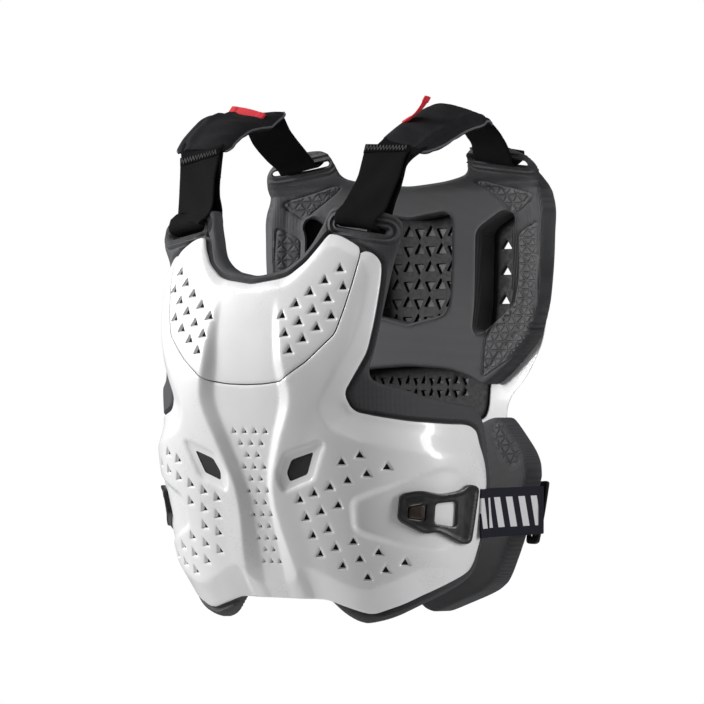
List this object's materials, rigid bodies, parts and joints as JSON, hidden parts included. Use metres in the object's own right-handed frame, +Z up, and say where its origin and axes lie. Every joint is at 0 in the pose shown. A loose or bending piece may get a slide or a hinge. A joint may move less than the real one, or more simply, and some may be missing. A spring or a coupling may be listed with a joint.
{
  "type": "roost deflector",
  "caption": "Chest and back protector with vented hard shells on padded liners, joined by shoulder webbing in padded sleeves and by side straps with hook buckles.",
  "frame": {"origin": "shoulder rest: midway between the shoulders, level with the undersides of the padded sleeves, on the line where the part hangs on the wearer's shoulders", "axes": "+Z up, the wearer faces -Y, +X is the wearer's left"},
  "size_m": [0.3864, 0.3145, 0.5461],
  "materials": {
    "white_shell": "glossy white moulded plastic",
    "liner": "charcoal moulded foam with a fine knurled skin",
    "lattice": "matte black perforated sheet",
    "webbing": "matte black elastic webbing",
    "sleeve": "matte black padded cloth with grey piping",
    "tab": "red woven tape",
    "buckle": "black satin plastic",
    "stud": "dark metal",
    "side_webbing": "dark elastic webbing with plain white bars"
  },
  "bodies": {
    "root": {"chest_panel": "white_shell", "front_shell": "white_shell", "front_liner": "liner", "back_shell": "white_shell", "back_lattice": "lattice", "back_liner": "liner", "waist_liner": "liner", "front_strap_left": "webbing", "front_strap_right": "webbing", "back_strap_left": "webbing", "back_strap_right": "webbing", "shoulder_sleeve_left": "sleeve", "shoulder_sleeve_right": "sleeve", "pull_tab_left": "tab", "pull_tab_right": "tab", "hook_buckle_left": "buckle", "hook_buckle_right": "buckle", "hook_stud_left": "stud", "hook_stud_right": "stud", "side_strap_left": "side_webbing", "side_strap_right": "side_webbing", "strap_slider_left": "buckle", "strap_slider_right": "buckle"}
  },
  "joints": []
}
